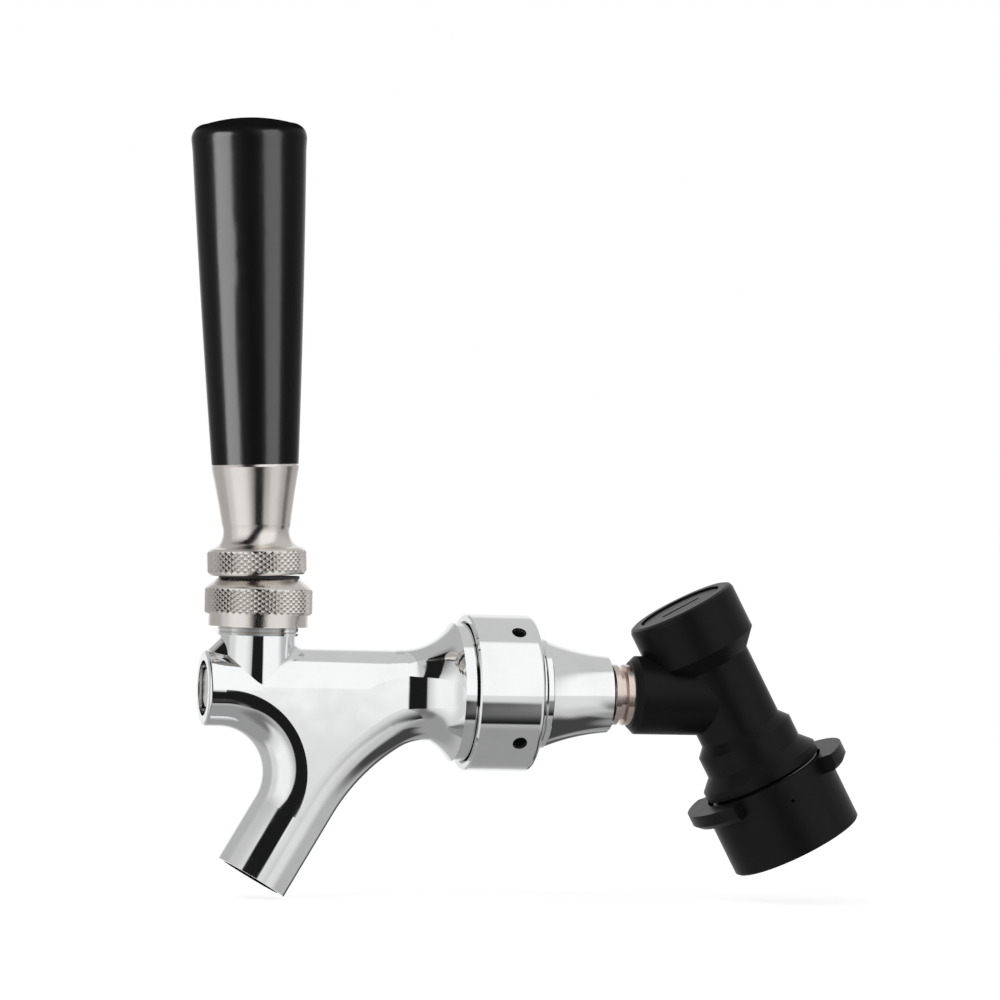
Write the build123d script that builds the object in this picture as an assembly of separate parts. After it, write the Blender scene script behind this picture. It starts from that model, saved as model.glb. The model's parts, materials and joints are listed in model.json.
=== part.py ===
from build123d import *
import os
from math import asin, cos, radians, sin, sqrt, tan

# A beer faucet that bolts to a ball-lock keg disconnect, in millimetres.
# Row frame: origin on the keg post socket's axis, at the lower edge of the wall that fits the
# post, +X from the faucet to the keg, +Z up along the handle. The faucet is drawn in its own
# frame, whose origin is where the valve axis meets the neck axis, and each group of turned
# pieces about its own Z axis.

# ---- fits ----
RUN = 0.05              # running or thread clearance, on the radius
SEAT_GAP = 0.05         # between a closed valve and its seat
LOOSE = 0.12            # beside the lever's tail in the shaft's window

# ---- shared details ----
CHAMFER = 0.4           # broken edge of a turned or moulded piece
PAST = 1.0              # a cut runs this far past the surface that it opens
INSIDE = 0.5            # a piece of a form starts this far inside the next one

# ---- faucet body ----
EDGE_R = 9.3            # rounded edge of the web: front boss, spout and barrel
FRONT_X = -13.2
FRONT_ROUND = 0.8
BARREL_RISE = 0.7       # the barrel lies this far above the bore
BARREL_END_X = 40.0
NECK_R = 9.2
NECK_THREAD_R = 9.7
NECK_THREAD_Z = 13.0
NECK_TOP_Z = 20.2
NECK_FILLET = 2.0       # between the neck and the barrel behind it
GUSSET_R = 4.5
GUSSET_LENGTH = 8.0
GUSSET_SET = 0.25       # the rib starts this far behind the boss's face
SPOUT_LEAN = 30.2       # spout axis from the vertical
SPOUT_MOUTH_X = -0.2
SPOUT_MOUTH_Z = -45.9
SPOUT_BORE_R = 7.6
SPOUT_BORE_LENGTH = 22.0
PASSAGE_R = 6.0
PASSAGE_LENGTH = 50.0
FRONT_BEND_R = 11.2     # hollow of the spout's front, on the outline
HEEL_BEND_R = 11.9      # small hollow under the bell, on the outline
HEEL_X = 42.0
HEEL_Z = -12.0
HEEL_TURN = 32.0        # turn of the small hollow, before the long one
HEEL_END = 5.0          # the web's rear edge ends this far before the bell's back
WAIST_X = 36.0
WAIST_R = 10.15
BELL_HOLLOW_R = 15.1
BELL_R = 17.0
BELL_BACK_X = 53.2
BELL_CORE = 16.0        # length of the bell's root inside the barrel
THREAD_R = 14.3
THREAD_RELIEF = 0.8
FAUCET_BACK_X = 60.0

# ---- bores of the faucet ----
BORE_R = 6.3
FRONT_MOUTH_R = 6.75
FRONT_MOUTH_DEPTH = 2.4
SEAT_X = 52.0
REAR_BORE_R = 10.0
NECK_BORE_R = 8.0
NECK_FLOOR_Z = 11.2
LEVER_OPENING_R = 6.8
LEVER_OPENING_Z = 3.0

# ---- lever, heights counted along its own axis from the ball's centre ----
PIVOT_Z = 16.0
LEVER_LEAN = 2.5        # closed lever leans forward by this much
BALL_R = 7.2
TAIL_LENGTH = 16.0
TAIL_BALL_R = 2.8
TAIL_R = 2.0
STEM_R = 3.75
STUD_R = 4.76
STUD_START = 14.85
STUD_END = 52.6
SEAT_RING_R = 7.95

# ---- jam nut, ferrule and grip on the lever ----
DISH_R = 15.65          # underside of the jam nut, a sphere about the ball's centre
JAM_R = 11.75
JAM_BOTTOM = 11.8
JAM_KNURL_TOP = 18.1
JAM_SHOULDER_R = 11.2
JAM_FLARE_R = 9.2       # hollow of the jam nut's top, at its middle
JAM_FLARE = 1.35
FERRULE_BOTTOM = 20.6
FERRULE_FOOT_R = 8.4
FERRULE_WAIST_R = 8.1
FERRULE_WAIST = 1.5
FERRULE_NECK_R = 8.35
FERRULE_NECK = 3.4
FERRULE_MID_R = 9.42
FERRULE_MID = 10.4
FERRULE_TOP_R = 10.7
GRIP_BOTTOM = 38.7
GRIP_BOTTOM_R = 10.6
GRIP_MID_R = 12.4
GRIP_TOP_R = 13.85
GRIP_LIP_R = 14.1
GRIP_LENGTH = 84.4
GRIP_EDGE = 3.4         # rounding of the top edge, in from the lip
GRIP_LIP_DROP = 5.2     # the lip lies this far below the top
GRIP_BEAD = 3.0         # height over which the lip swells
GRIP_CROWN = 1.5
GRIP_BORE = 26.0
INSERT_R = 6.5
INSERT_LENGTH = 21.0
INSERT_SINK = 0.2       # the insert starts this far inside the grip

# ---- bonnet nut ----
BONNET_BOTTOM_Z = 15.25
BONNET_BAND_R = 12.1
BONNET_BAND = 2.95
BONNET_KNURL_R = 12.8
BONNET_KNURL_TOP_Z = 24.9
BONNET_TOP_Z = 27.0
BONNET_TOP_R = 9.85
BONNET_HOLE_R = 6.4
BONNET_FLARE_R = 8.8
BONNET_LID_Z = 20.6
DUST_RING_R = 9.1       # inside of the rubber ring on the bonnet's top
DUST_RING = 0.7

# ---- valve shaft ----
SHAFT_FRONT_X = -12.4
SHAFT_FACE_R = 5.0
SHAFT_STEP_X = -10.0
PISTON_END_X = 8.5
ROD_R = 3.0
ROD_THREAD_R = 2.4
SHOULDER_R = 5.0
SHOULDER = 1.4
ROD_END_X = 59.0
O_RING_WIRE = 0.62
O_RING_GROOVE = 1.6
SEAT_WASHER_R = 8.2
SEAT_WASHER = 2.15
SHAFT_NUT_R = 4.6
SHAFT_NUT = 3.1

# ---- coupling nut and adapter ----
GASKET = 1.2
GASKET_BORE_R = 9.6
NUT_FRONT_X = 51.75
NUT_BACK_X = 68.2
NUT_RIM = 1.7           # the nut's wall round the bell
NUT_ROUND = 1.2
NUT_LIP_DEPTH = 1.9
NUT_LIP_GAP = 0.5
SPANNER_HOLE_R = 1.8
SPANNER_HOLE_DEPTH = 3.2
SPANNER_DRILL = 8.0  # length of the drill that makes them, from their bottom outwards
SPANNER_HOLE_X = 62.7
SPANNER_HOLES = 4
SPANNER_PHASE = 37.5    # first hole, turned from straight down
FLANGE = 3.0
COLLAR_R = 13.6
COLLAR_END_X = 71.5
COLLAR_GROOVE = 0.25    # the fine groove round the collar
COLLAR_GROOVE_X = 70.0
TRUMPET_START_R = 13.3
TRUMPET_MID_X = 79.2
TRUMPET_MID_R = 10.85
TRUMPET_END_R = 9.45
ADAPTER_END_X = 88.3
CAVITY_R = 9.0
CAVITY_TAPER = 4.0  # length of the cone between the cavity and the channel
CAVITY_END_X = 68.0
CHANNEL_R = 3.0
FLARE_THREAD_R = 5.55
FLARE_BORE_X = 78.0

# ---- flare insert of the disconnect's arm ----
INSERT_SHOULDER_R = 7.5
INSERT_GROOVE_R = 6.2
INSERT_RING = 2.1
ARM_R = 9.7
ARM_END_X = 93.85
ARM_CHAMFER = 1.5
INSERT_TAIL_R = 5.0
INSERT_TAIL_END_X = 106.0
INSERT_CHANNEL_R = 2.0
NOSE_TIP_X = 79.3
FLARE_WASHER = 1.1

# ---- disconnect, heights counted from the socket's mouth ----
ARM_X = 118.5           # the arm's axis meets the disconnect's axis here
ARM_HEIGHT = 41.6
TILT = 28.4
SOCKET_R = 9.9          # the wall that fits the keg post
SOCKET_DEPTH = 17.0
SEAT_BOTTOM = 8.8
ENTRY_R = 10.15         # the wider part below it, with the locking balls
ENTRY_LEAD = 0.25
NOSE_BORE_R = 7.4
NOSE_BORE_DEPTH = 4.0
CHAMBER_FLOOR = 24.0
CHAMBER_R = 7.0
PORT_R = 3.0
SLEEVE_R = 12.5
RING2_R = 15.2
RING2_BOTTOM = 19.7
RING2_TOP = 22.0
RING1_R = 12.5
RING1_BOTTOM = 24.9
RING1_TOP = 30.3
BARREL_R = 10.5
BARREL_BOTTOM = 32.6
BARREL_TOP = 50.7
HEAD_R = 14.0
HEAD_BOTTOM = 54.8
HEAD_TOP = 67.0
HEAD_ROUND = 1.3
CAP_R = 10.5
CAP_GAP = 0.15          # round the cap's disc
CAP_SINK = 0.5
CAP_DISC = 2.4
CAP_PLUG_R = 8.6
CAP_PLUG_BOTTOM = 56.6
CAP_GUIDE_R = 5.6
CAP_GUIDE_BOTTOM = 50.0
SLOT_LENGTH = 10.5
SLOT_WIDTH = 1.7
SLOT_DEPTH = 1.5

# ---- disconnect valve ----
PIN_TIP = 17.6
PIN_R = 1.5
PIN_STEM_R = 2.0
PIN_HEAD_R = 5.4
PIN_HEAD_BOTTOM = 25.5
PIN_HEAD = 2.6
PIN_TOP = 53.0
PIN_TRAVEL = 3.0
PIN_BORE_R = 3.2
PIN_SPRING_R = 3.4
PIN_SPRING_WIRE = 0.4
PIN_SPRING_TURNS = 7

# ---- release collar and its locking balls ----
SKIRT_R = 16.9
SKIRT_TOP = 19.0
SPRING_WELL_R = 15.5
SPRING_SHELF = 9.0
CAM_LIP = 1.8
LOCK_BALL_R = 2.0
LOCK_BALLS = 4
LOCK_BALL_HEIGHT = 6.0
LOCK_BALL_BITE = 1.2    # how far each ball stands into the socket
COLLAR_TRAVEL = 4.5
COLLAR_SPRING_R = 13.95
COLLAR_SPRING_WIRE = 0.6
COLLAR_SPRING_TURNS = 4
CLIP_R = 13.7
CLIP_GROOVE_R = 11.6
CLIP_BOTTOM = 0.8
CLIP = 1.0
CLIP_GAP = 3.0  # width of the gap in the snap ring
LUG_R = 21.1
LUG_BOTTOM = 14.8
LUG_HALF_ANGLE = 48.0
LUG_CHAMFER = 1.2
VENT_R = 0.4
VENT_DROP = 1.4         # the vent hole lies this far below the lugs

# ---- frames ----
ARM_RISE = ARM_HEIGHT - SEAT_BOTTOM     # from the origin up to the arm's axis
FAUCET = Location((-ARM_RISE * sin(radians(TILT)) - ARM_X, 0, ARM_RISE * cos(radians(TILT))))
ALONG_VALVE = FAUCET * Location((0, 0, 0), (0, 90, 0))
ON_LEVER = FAUCET * Location((0, 0, PIVOT_Z), (0, -LEVER_LEAN, 0))
ON_DISCONNECT = Location((0, 0, 0), (0, -TILT, 0)) * Pos(0, 0, -SEAT_BOTTOM)
FLANGE_X = FAUCET_BACK_X + GASKET
NUT_R = BELL_R + NUT_LIP_GAP + NUT_RIM


def turned(*outline):
    """A turned piece about Z, from its half outline of (radius, height) points."""
    return spun(Polyline(*outline, close=True))


def spun(lines):
    """A turned piece about Z, from a closed half outline of lines and arcs."""
    return revolve(Plane.XZ * make_face(lines), Axis.Z)


def rod(radius, low, high):
    """A plain round rod on Z, between two heights."""
    return Pos(0, 0, low) * Cylinder(radius, high - low, align=(Align.CENTER, Align.CENTER, Align.MIN))


def ring(outer, inner, low, high):
    """A plain round ring on Z, between two heights."""
    return rod(outer, low, high) - rod(inner, low - PAST, high + PAST)


def tube_along(path, radius):
    """A round bar bent along a path that lies in the faucet's middle plane."""
    section = Plane(origin=path @ 0, z_dir=path % 0) * Circle(radius)
    return sweep(section, path=path)


def coil(radius, wire, turns, low, high):
    """A coil spring on Z whose wire stays between two heights."""
    height = high - low - 2 * wire
    path = Helix(pitch=height / turns, height=height, radius=radius)
    section = Plane(origin=path @ 0, z_dir=path % 0) * Circle(wire)
    return Pos(0, 0, low + wire) * sweep(section, path=path, is_frenet=True)


# ---------------------------------------------------------------- faucet body

def front_bend():
    """Centre line of the web's front edge: from the bore's axis down to the spout's axis."""
    lean = radians(SPOUT_LEAN)
    radius = FRONT_BEND_R + EDGE_R
    meet_z = -radius * (1 + sin(lean))
    meet_x = SPOUT_MOUTH_X + (meet_z - SPOUT_MOUTH_Z) * tan(lean)
    start_x = meet_x - radius * cos(lean)
    return JernArc((start_x, 0), (1, 0), radius, -(90 + SPOUT_LEAN))


def heel_bends():
    """Centre lines of the web's rear edge: the small hollow, then the long one to the spout."""
    lean = radians(SPOUT_LEAN)
    turn = radians(HEEL_TURN)
    small = JernArc((HEEL_X, HEEL_Z + EDGE_R), (-1, 0), HEEL_BEND_R + EDGE_R, HEEL_TURN)
    joint = small @ 1
    step_x = sin(turn) - cos(lean)
    step_z = sin(lean) - cos(turn)
    across = cos(lean) * (joint.X - SPOUT_MOUTH_X) - sin(lean) * (joint.Y - SPOUT_MOUTH_Z)
    radius = -across / (cos(lean) * step_x - sin(lean) * step_z)
    long = JernArc(joint, small % 1, radius, 90 - SPOUT_LEAN - HEEL_TURN)
    return small, long


def web():
    """The flat-sided web between the two bent edges, as thick as they are."""
    front = front_bend()
    small, long = heel_bends()
    outline = Line(front @ 0, (0, 0)) + Line((0, 0), (0, BARREL_RISE))
    outline += Line((0, BARREL_RISE), (HEEL_X, BARREL_RISE)) + Line((HEEL_X, BARREL_RISE), small @ 0)
    outline += [small, long, Line(long @ 1, front @ 1), front]
    face = Plane.XZ * make_face(outline)
    return extrude(face, EDGE_R, both=True)


def spout():
    """The bent front edge, the bent rear edge and the straight spout below them."""
    front = front_bend()
    small, long = heel_bends()
    join_x, join_z = (front @ 1).X, (front @ 1).Y
    mouth = Vector(SPOUT_MOUTH_X, 0, SPOUT_MOUTH_Z)
    straight = Line((join_x, 0, join_z), mouth)
    rear_straight = Line((long @ 1), (join_x, join_z))
    front_edge = tube_along(Plane.XZ * front, EDGE_R)
    rear_edge = tube_along(Plane.XZ * small, EDGE_R) + tube_along(Plane.XZ * long, EDGE_R)
    rear_edge += tube_along(Plane.XZ * rear_straight, EDGE_R)
    heel_stub = Line((HEEL_X, HEEL_Z + EDGE_R), (BELL_BACK_X - HEEL_END, HEEL_Z + EDGE_R))
    rear_edge += tube_along(Plane.XZ * heel_stub, EDGE_R)
    return front_edge + rear_edge + tube_along(straight, EDGE_R)


def hollow_run(rise):
    """How far along the axis the bell's hollow goes while it rises by so much."""
    return sqrt(BELL_HOLLOW_R**2 - (BELL_HOLLOW_R - rise) ** 2)


def bell():
    """The waist that flares to the bell, and the threaded spigot behind it."""
    flare_end = WAIST_X + hollow_run(BELL_R - WAIST_R)
    mid_angle = radians(22)
    middle = (
        WAIST_R + BELL_HOLLOW_R * (1 - cos(mid_angle)),
        WAIST_X + BELL_HOLLOW_R * sin(mid_angle),
    )
    lines = Polyline(
        (BELL_R, flare_end),
        (BELL_R, BELL_BACK_X),
        (THREAD_R - THREAD_RELIEF, BELL_BACK_X),
        (THREAD_R - THREAD_RELIEF, BELL_BACK_X + THREAD_RELIEF),
        (THREAD_R, BELL_BACK_X + 2 * THREAD_RELIEF),
        (THREAD_R, FAUCET_BACK_X - THREAD_RELIEF),
        (THREAD_R - THREAD_RELIEF, FAUCET_BACK_X),
        (0, FAUCET_BACK_X),
        (0, WAIST_X - BELL_CORE),
        (EDGE_R - INSIDE, WAIST_X - BELL_CORE),
        (WAIST_R, WAIST_X),
    )
    return spun(lines + ThreePointArc((WAIST_R, WAIST_X), middle, (BELL_R, flare_end)))


def flank():
    """What one flat side takes off the bell: it ends in a hollow that runs out to the rim."""
    end = WAIST_X + hollow_run(BELL_R - WAIST_R)
    start = end - hollow_run(BELL_R - EDGE_R)
    turn = asin((end - start) / BELL_HOLLOW_R) / 2
    middle = (start + BELL_HOLLOW_R * sin(turn), EDGE_R + BELL_HOLLOW_R * (1 - cos(turn)))
    outline = ThreePointArc((start, EDGE_R), middle, (end, BELL_R))
    outline += Polyline(
        (end, BELL_R),
        (end, BELL_R + PAST),
        (WAIST_X - BELL_CORE, BELL_R + PAST),
        (WAIST_X - BELL_CORE, EDGE_R),
        (start, EDGE_R),
    )
    return extrude(make_face(outline), BELL_R + PAST, both=True)


def boss():
    """The front boss, with a rounded rim."""
    corner = (EDGE_R - FRONT_ROUND * (1 - sin(radians(45))), FRONT_X + FRONT_ROUND * (1 - cos(radians(45))))
    top = (EDGE_R, FRONT_X + FRONT_ROUND)
    face = (EDGE_R - FRONT_ROUND, FRONT_X)
    lines = Polyline(top, (EDGE_R, NECK_R), (0, NECK_R), (0, FRONT_X), face)
    return spun(lines + ThreePointArc(face, corner, top))


def gusset():
    """The short rib that fills the corner between the boss and the neck."""
    edge = Location((FRONT_X + GUSSET_SET, 0, EDGE_R - FRONT_ROUND), (0, 45, 0))
    return edge * Pos(GUSSET_R, 0, 0) * rod(GUSSET_R, 0, GUSSET_LENGTH)


def neck_corner(body):
    """The two edges where the neck stands on the barrel, behind its axis."""
    return [
        edge
        for edge in body.edges()
        if NECK_R / 2 < edge.center().X < 1.3 * NECK_R and 0 < edge.center().Z < EDGE_R + BARREL_RISE + INSIDE
    ]


def faucet_body():
    along = Location((0, 0, 0), (0, 90, 0))
    barrel = Pos(0, 0, BARREL_RISE) * along * rod(EDGE_R, 0, BARREL_END_X)
    neck = rod(NECK_R, 0, NECK_TOP_Z)
    flared = along * bell() - flank() - Rot(180, 0, 0) * flank()
    body = web() + spout() + along * boss() + barrel + flared + neck + gusset()
    body = body.fillet(NECK_FILLET, neck_corner(body)) + rod(NECK_THREAD_R, NECK_THREAD_Z, NECK_TOP_Z)
    bore = rod(BORE_R, FRONT_X - PAST, SEAT_X)
    bore += rod(FRONT_MOUTH_R, FRONT_X - PAST, FRONT_X + FRONT_MOUTH_DEPTH)
    bore += rod(REAR_BORE_R, SEAT_X, FAUCET_BACK_X + PAST)
    body -= along * bore
    body -= rod(NECK_BORE_R, NECK_FLOOR_Z, NECK_TOP_Z + PAST)
    body -= rod(LEVER_OPENING_R, LEVER_OPENING_Z, NECK_FLOOR_Z)
    mouth = Location((SPOUT_MOUTH_X, 0, SPOUT_MOUTH_Z), (0, SPOUT_LEAN, 0))
    body -= mouth * (rod(SPOUT_BORE_R, -PAST, SPOUT_BORE_LENGTH) + rod(PASSAGE_R, 0, PASSAGE_LENGTH))
    return FAUCET * body


# ---------------------------------------------------------------- bonnet and lever

def ball_seat(low, high, lip):
    """A nylon ring whose inside is the ball's own curve between two heights from its centre."""
    inner = BALL_R + RUN
    r_low = sqrt(inner**2 - low**2)
    r_high = sqrt(inner**2 - high**2)
    middle = (low + high) / 2
    arc = ThreePointArc((r_low, low), (sqrt(inner**2 - middle**2), middle), (r_high, high))
    if lip > 0:
        rest = Polyline((r_high, high), (r_high + lip / 2, high + lip), (SEAT_RING_R, high + lip))
    else:
        rest = Line((r_high, high), (SEAT_RING_R, high))
    rest += Polyline(rest @ 1, (SEAT_RING_R, low), (r_low, low))
    return spun(arc + rest)


def ball_washer():
    return FAUCET * Pos(0, 0, PIVOT_Z) * ball_seat(NECK_FLOOR_Z - PIVOT_Z, -0.8, 0)


def friction_ring():
    high = 3.8
    lip = BONNET_LID_Z - PIVOT_Z - high
    return FAUCET * Pos(0, 0, PIVOT_Z) * ball_seat(0.8, high, lip)


def bonnet_nut():
    thread = NECK_THREAD_R + RUN
    band_top = BONNET_BOTTOM_Z + BONNET_BAND
    nut = turned(
        (thread, BONNET_BOTTOM_Z),
        (BONNET_BAND_R, BONNET_BOTTOM_Z),
        (BONNET_BAND_R, band_top),
        (BONNET_KNURL_R, band_top),
        (BONNET_KNURL_R, BONNET_KNURL_TOP_Z - CHAMFER),
        (BONNET_KNURL_R - CHAMFER, BONNET_KNURL_TOP_Z),
        (BONNET_TOP_R, BONNET_TOP_Z),
        (BONNET_FLARE_R, BONNET_TOP_Z),
        (BONNET_HOLE_R, BONNET_LID_Z + 0.4),
        (BONNET_HOLE_R, BONNET_LID_Z),
        (thread, BONNET_LID_Z),
    )
    return FAUCET * nut


def dust_ring():
    """The thin rubber ring on the bonnet's top: it closes the gap under the jam nut."""
    return FAUCET * ring(BONNET_TOP_R, DUST_RING_R, BONNET_TOP_Z, BONNET_TOP_Z + DUST_RING)


def lever():
    """The tail, the ball, the stem and the stud, turned in one piece."""
    tail_ball_top = sqrt(TAIL_BALL_R**2 - TAIL_R**2) - TAIL_LENGTH
    ball_low = -sqrt(BALL_R**2 - TAIL_R**2)
    ball_high = sqrt(BALL_R**2 - STEM_R**2)
    tip = (0, -TAIL_LENGTH - TAIL_BALL_R)
    lines = ThreePointArc(tip, (TAIL_BALL_R, -TAIL_LENGTH), (TAIL_R, tail_ball_top))
    lines += Line((TAIL_R, tail_ball_top), (TAIL_R, ball_low))
    lines += ThreePointArc((TAIL_R, ball_low), (BALL_R, 0), (STEM_R, ball_high))
    lines += Polyline(
        (STEM_R, ball_high),
        (STEM_R, STUD_START),
        (STUD_R, STUD_START),
        (STUD_R, STUD_END - 2 * CHAMFER),
        (STUD_R - 2 * CHAMFER, STUD_END),
        (0, STUD_END),
        tip,
    )
    return ON_LEVER * spun(lines)


def ferrule_jam_nut():
    """The knurled jam nut: dished under, so that it swings over the bonnet nut."""
    bore = STUD_R + RUN
    dish_edge = sqrt(DISH_R**2 - JAM_BOTTOM**2)
    dish_top = sqrt(DISH_R**2 - bore**2)
    middle = (dish_edge + bore) / 2
    dish = ThreePointArc((bore, dish_top), (middle, sqrt(DISH_R**2 - middle**2)), (dish_edge, JAM_BOTTOM))
    side = Polyline(
        (dish_edge, JAM_BOTTOM),
        (JAM_R - CHAMFER, JAM_BOTTOM),
        (JAM_R, JAM_BOTTOM + CHAMFER),
        (JAM_R, JAM_KNURL_TOP - CHAMFER),
        (JAM_SHOULDER_R, JAM_KNURL_TOP + 0.1),
    )
    foot = (FERRULE_FOOT_R, FERRULE_BOTTOM)
    flare = ThreePointArc(side @ 1, (JAM_FLARE_R, FERRULE_BOTTOM - JAM_FLARE), foot)
    top = Polyline(foot, (bore, FERRULE_BOTTOM), (bore, dish_top))
    return ON_LEVER * spun(dish + side + flare + top)


def ferrule():
    """The tapered ferrule between the jam nut and the grip."""
    bore = STUD_R + RUN
    neck = (FERRULE_NECK_R, FERRULE_BOTTOM + FERRULE_NECK)
    top = (FERRULE_TOP_R, GRIP_BOTTOM - 0.6)
    foot = (FERRULE_FOOT_R, FERRULE_BOTTOM)
    waist = ThreePointArc(foot, (FERRULE_WAIST_R, FERRULE_BOTTOM + FERRULE_WAIST), neck)
    taper = ThreePointArc(neck, (FERRULE_MID_R, FERRULE_BOTTOM + FERRULE_MID), top)
    rest = Polyline(
        top,
        (FERRULE_TOP_R - 0.2, GRIP_BOTTOM),
        (bore, GRIP_BOTTOM),
        (bore, FERRULE_BOTTOM),
        foot,
    )
    return ON_LEVER * spun(waist + taper + rest)


def grip_insert():
    start = GRIP_BOTTOM + INSERT_SINK
    return ON_LEVER * ring(INSERT_R, STUD_R + RUN, start, start + INSERT_LENGTH)


def handle_grip():
    """The tapered grip, with a slight lip, a rounded top edge and a low crown."""
    top = GRIP_BOTTOM + GRIP_LENGTH
    lip = top - GRIP_LIP_DROP
    edge = GRIP_EDGE
    middle = (GRIP_MID_R, GRIP_BOTTOM + 0.44 * GRIP_LENGTH)
    side = Spline((GRIP_BOTTOM_R, GRIP_BOTTOM), middle, (GRIP_TOP_R, lip - GRIP_BEAD))
    bead = Line(side @ 1, (GRIP_LIP_R, lip))
    crown_edge = (GRIP_LIP_R - edge, top - GRIP_CROWN)
    crown_r = (crown_edge[0] ** 2 + GRIP_CROWN**2) / (2 * GRIP_CROWN)
    crown_middle = (crown_edge[0] / 2, top - crown_r + sqrt(crown_r**2 - crown_edge[0] ** 2 / 4))
    shoulder = (GRIP_LIP_R - edge * (1 - cos(radians(42))), lip + edge * sin(radians(42)) + 0.15)
    rounded = ThreePointArc((GRIP_LIP_R, lip), shoulder, crown_edge)
    crown = ThreePointArc(crown_edge, crown_middle, (0, top))
    insert_top = GRIP_BOTTOM + INSERT_SINK + INSERT_LENGTH
    inner = Polyline(
        (0, top),
        (0, GRIP_BOTTOM + GRIP_BORE),
        (STUD_R + 0.3, GRIP_BOTTOM + GRIP_BORE),
        (STUD_R + 0.3, insert_top),
        (INSERT_R, insert_top),
        (INSERT_R, GRIP_BOTTOM),
        (GRIP_BOTTOM_R, GRIP_BOTTOM),
    )
    return ON_LEVER * spun(side + bead + rounded + crown + inner)


# ---------------------------------------------------------------- valve shaft

def valve_shaft():
    """The piston with the lever's window, the rod and its threaded end."""
    piston = BORE_R - RUN
    shoulder_x = SEAT_X - SHOULDER
    shaft = turned(
        (0, SHAFT_FRONT_X),
        (SHAFT_FACE_R - CHAMFER, SHAFT_FRONT_X),
        (SHAFT_FACE_R, SHAFT_FRONT_X + CHAMFER),
        (SHAFT_FACE_R, SHAFT_STEP_X),
        (piston, SHAFT_STEP_X),
        (piston, PISTON_END_X),
        (ROD_R, PISTON_END_X),
        (ROD_R, shoulder_x),
        (SHOULDER_R, shoulder_x),
        (SHOULDER_R, SEAT_X + SEAT_GAP),
        (ROD_THREAD_R, SEAT_X + SEAT_GAP),
        (ROD_THREAD_R, ROD_END_X),
        (0, ROD_END_X),
    )
    for x in o_ring_places():
        shaft -= ring(piston + PAST, SHAFT_FACE_R, x - O_RING_GROOVE / 2, x + O_RING_GROOVE / 2)
    along = Location((0, 0, 0), (0, 90, 0))
    tail_x = TAIL_LENGTH * sin(radians(LEVER_LEAN))
    left = tail_x - TAIL_BALL_R - LOOSE
    right = tail_x + TAIL_BALL_R + LOOSE
    low = -TAIL_BALL_R - 0.3
    window = Polyline(
        (left, low),
        (right, low),
        (right, BORE_R + 0.2),
        (left - 1.7, BORE_R + 0.2),
        (left, TAIL_BALL_R + 0.1),
        close=True,
    )
    cut = extrude(Plane.XZ * make_face(window), TAIL_BALL_R + LOOSE, both=True)
    return FAUCET * (along * shaft - cut)


def o_ring_places():
    return (SHAFT_STEP_X + O_RING_GROOVE, PISTON_END_X - O_RING_GROOVE)


def shaft_o_rings():
    mean = SHAFT_FACE_R + O_RING_WIRE + 0.02
    rings = [Pos(0, 0, x) * Torus(mean, O_RING_WIRE) for x in o_ring_places()]
    return ALONG_VALVE * Compound(children=rings)


def shaft_seat_washer():
    start = SEAT_X + SEAT_GAP
    return ALONG_VALVE * ring(SEAT_WASHER_R, ROD_THREAD_R + RUN, start, start + SEAT_WASHER)


def shaft_nut():
    start = SEAT_X + SEAT_GAP + SEAT_WASHER
    hexagon = extrude(RegularPolygon(SHAFT_NUT_R, 6), SHAFT_NUT)
    hole = rod(ROD_THREAD_R + RUN, start - PAST, start + SHAFT_NUT + PAST)
    return ALONG_VALVE * (Pos(0, 0, start) * hexagon - hole)


# ---------------------------------------------------------------- coupling nut and adapter

def coupling_gasket():
    return ALONG_VALVE * ring(THREAD_R - 0.4, GASKET_BORE_R, FAUCET_BACK_X, FLANGE_X)


def coupling_nut():
    """The round nut with spanner holes: it draws the adapter's flange to the faucet."""
    bore = THREAD_R + RUN
    lip = BELL_R + NUT_LIP_GAP
    back = FLANGE_X + FLANGE + RUN
    corner = NUT_ROUND * (1 - cos(radians(45)))
    lines = Polyline(
        (lip, NUT_FRONT_X),
        (NUT_R - CHAMFER, NUT_FRONT_X),
        (NUT_R, NUT_FRONT_X + CHAMFER),
        (NUT_R, NUT_BACK_X - NUT_ROUND),
    )
    lines += ThreePointArc(
        (NUT_R, NUT_BACK_X - NUT_ROUND),
        (NUT_R - corner, NUT_BACK_X - corner),
        (NUT_R - NUT_ROUND, NUT_BACK_X),
    )
    lines += Polyline(
        (NUT_R - NUT_ROUND, NUT_BACK_X),
        (COLLAR_R + RUN, NUT_BACK_X),
        (COLLAR_R + RUN, back),
        (bore, back),
        (bore, NUT_FRONT_X + NUT_LIP_DEPTH),
        (lip, NUT_FRONT_X + NUT_LIP_DEPTH),
        (lip, NUT_FRONT_X),
    )
    nut = ALONG_VALVE * spun(lines)
    bottom = Pos(NUT_R - SPANNER_HOLE_DEPTH, 0, SPANNER_HOLE_X) * Rot(0, 90, 0)
    hole = bottom * rod(SPANNER_HOLE_R, 0, SPANNER_DRILL)
    for i in range(SPANNER_HOLES):
        nut -= ALONG_VALVE * Rot(0, 0, SPANNER_PHASE + i * 360 / SPANNER_HOLES) * hole
    return nut


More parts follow.
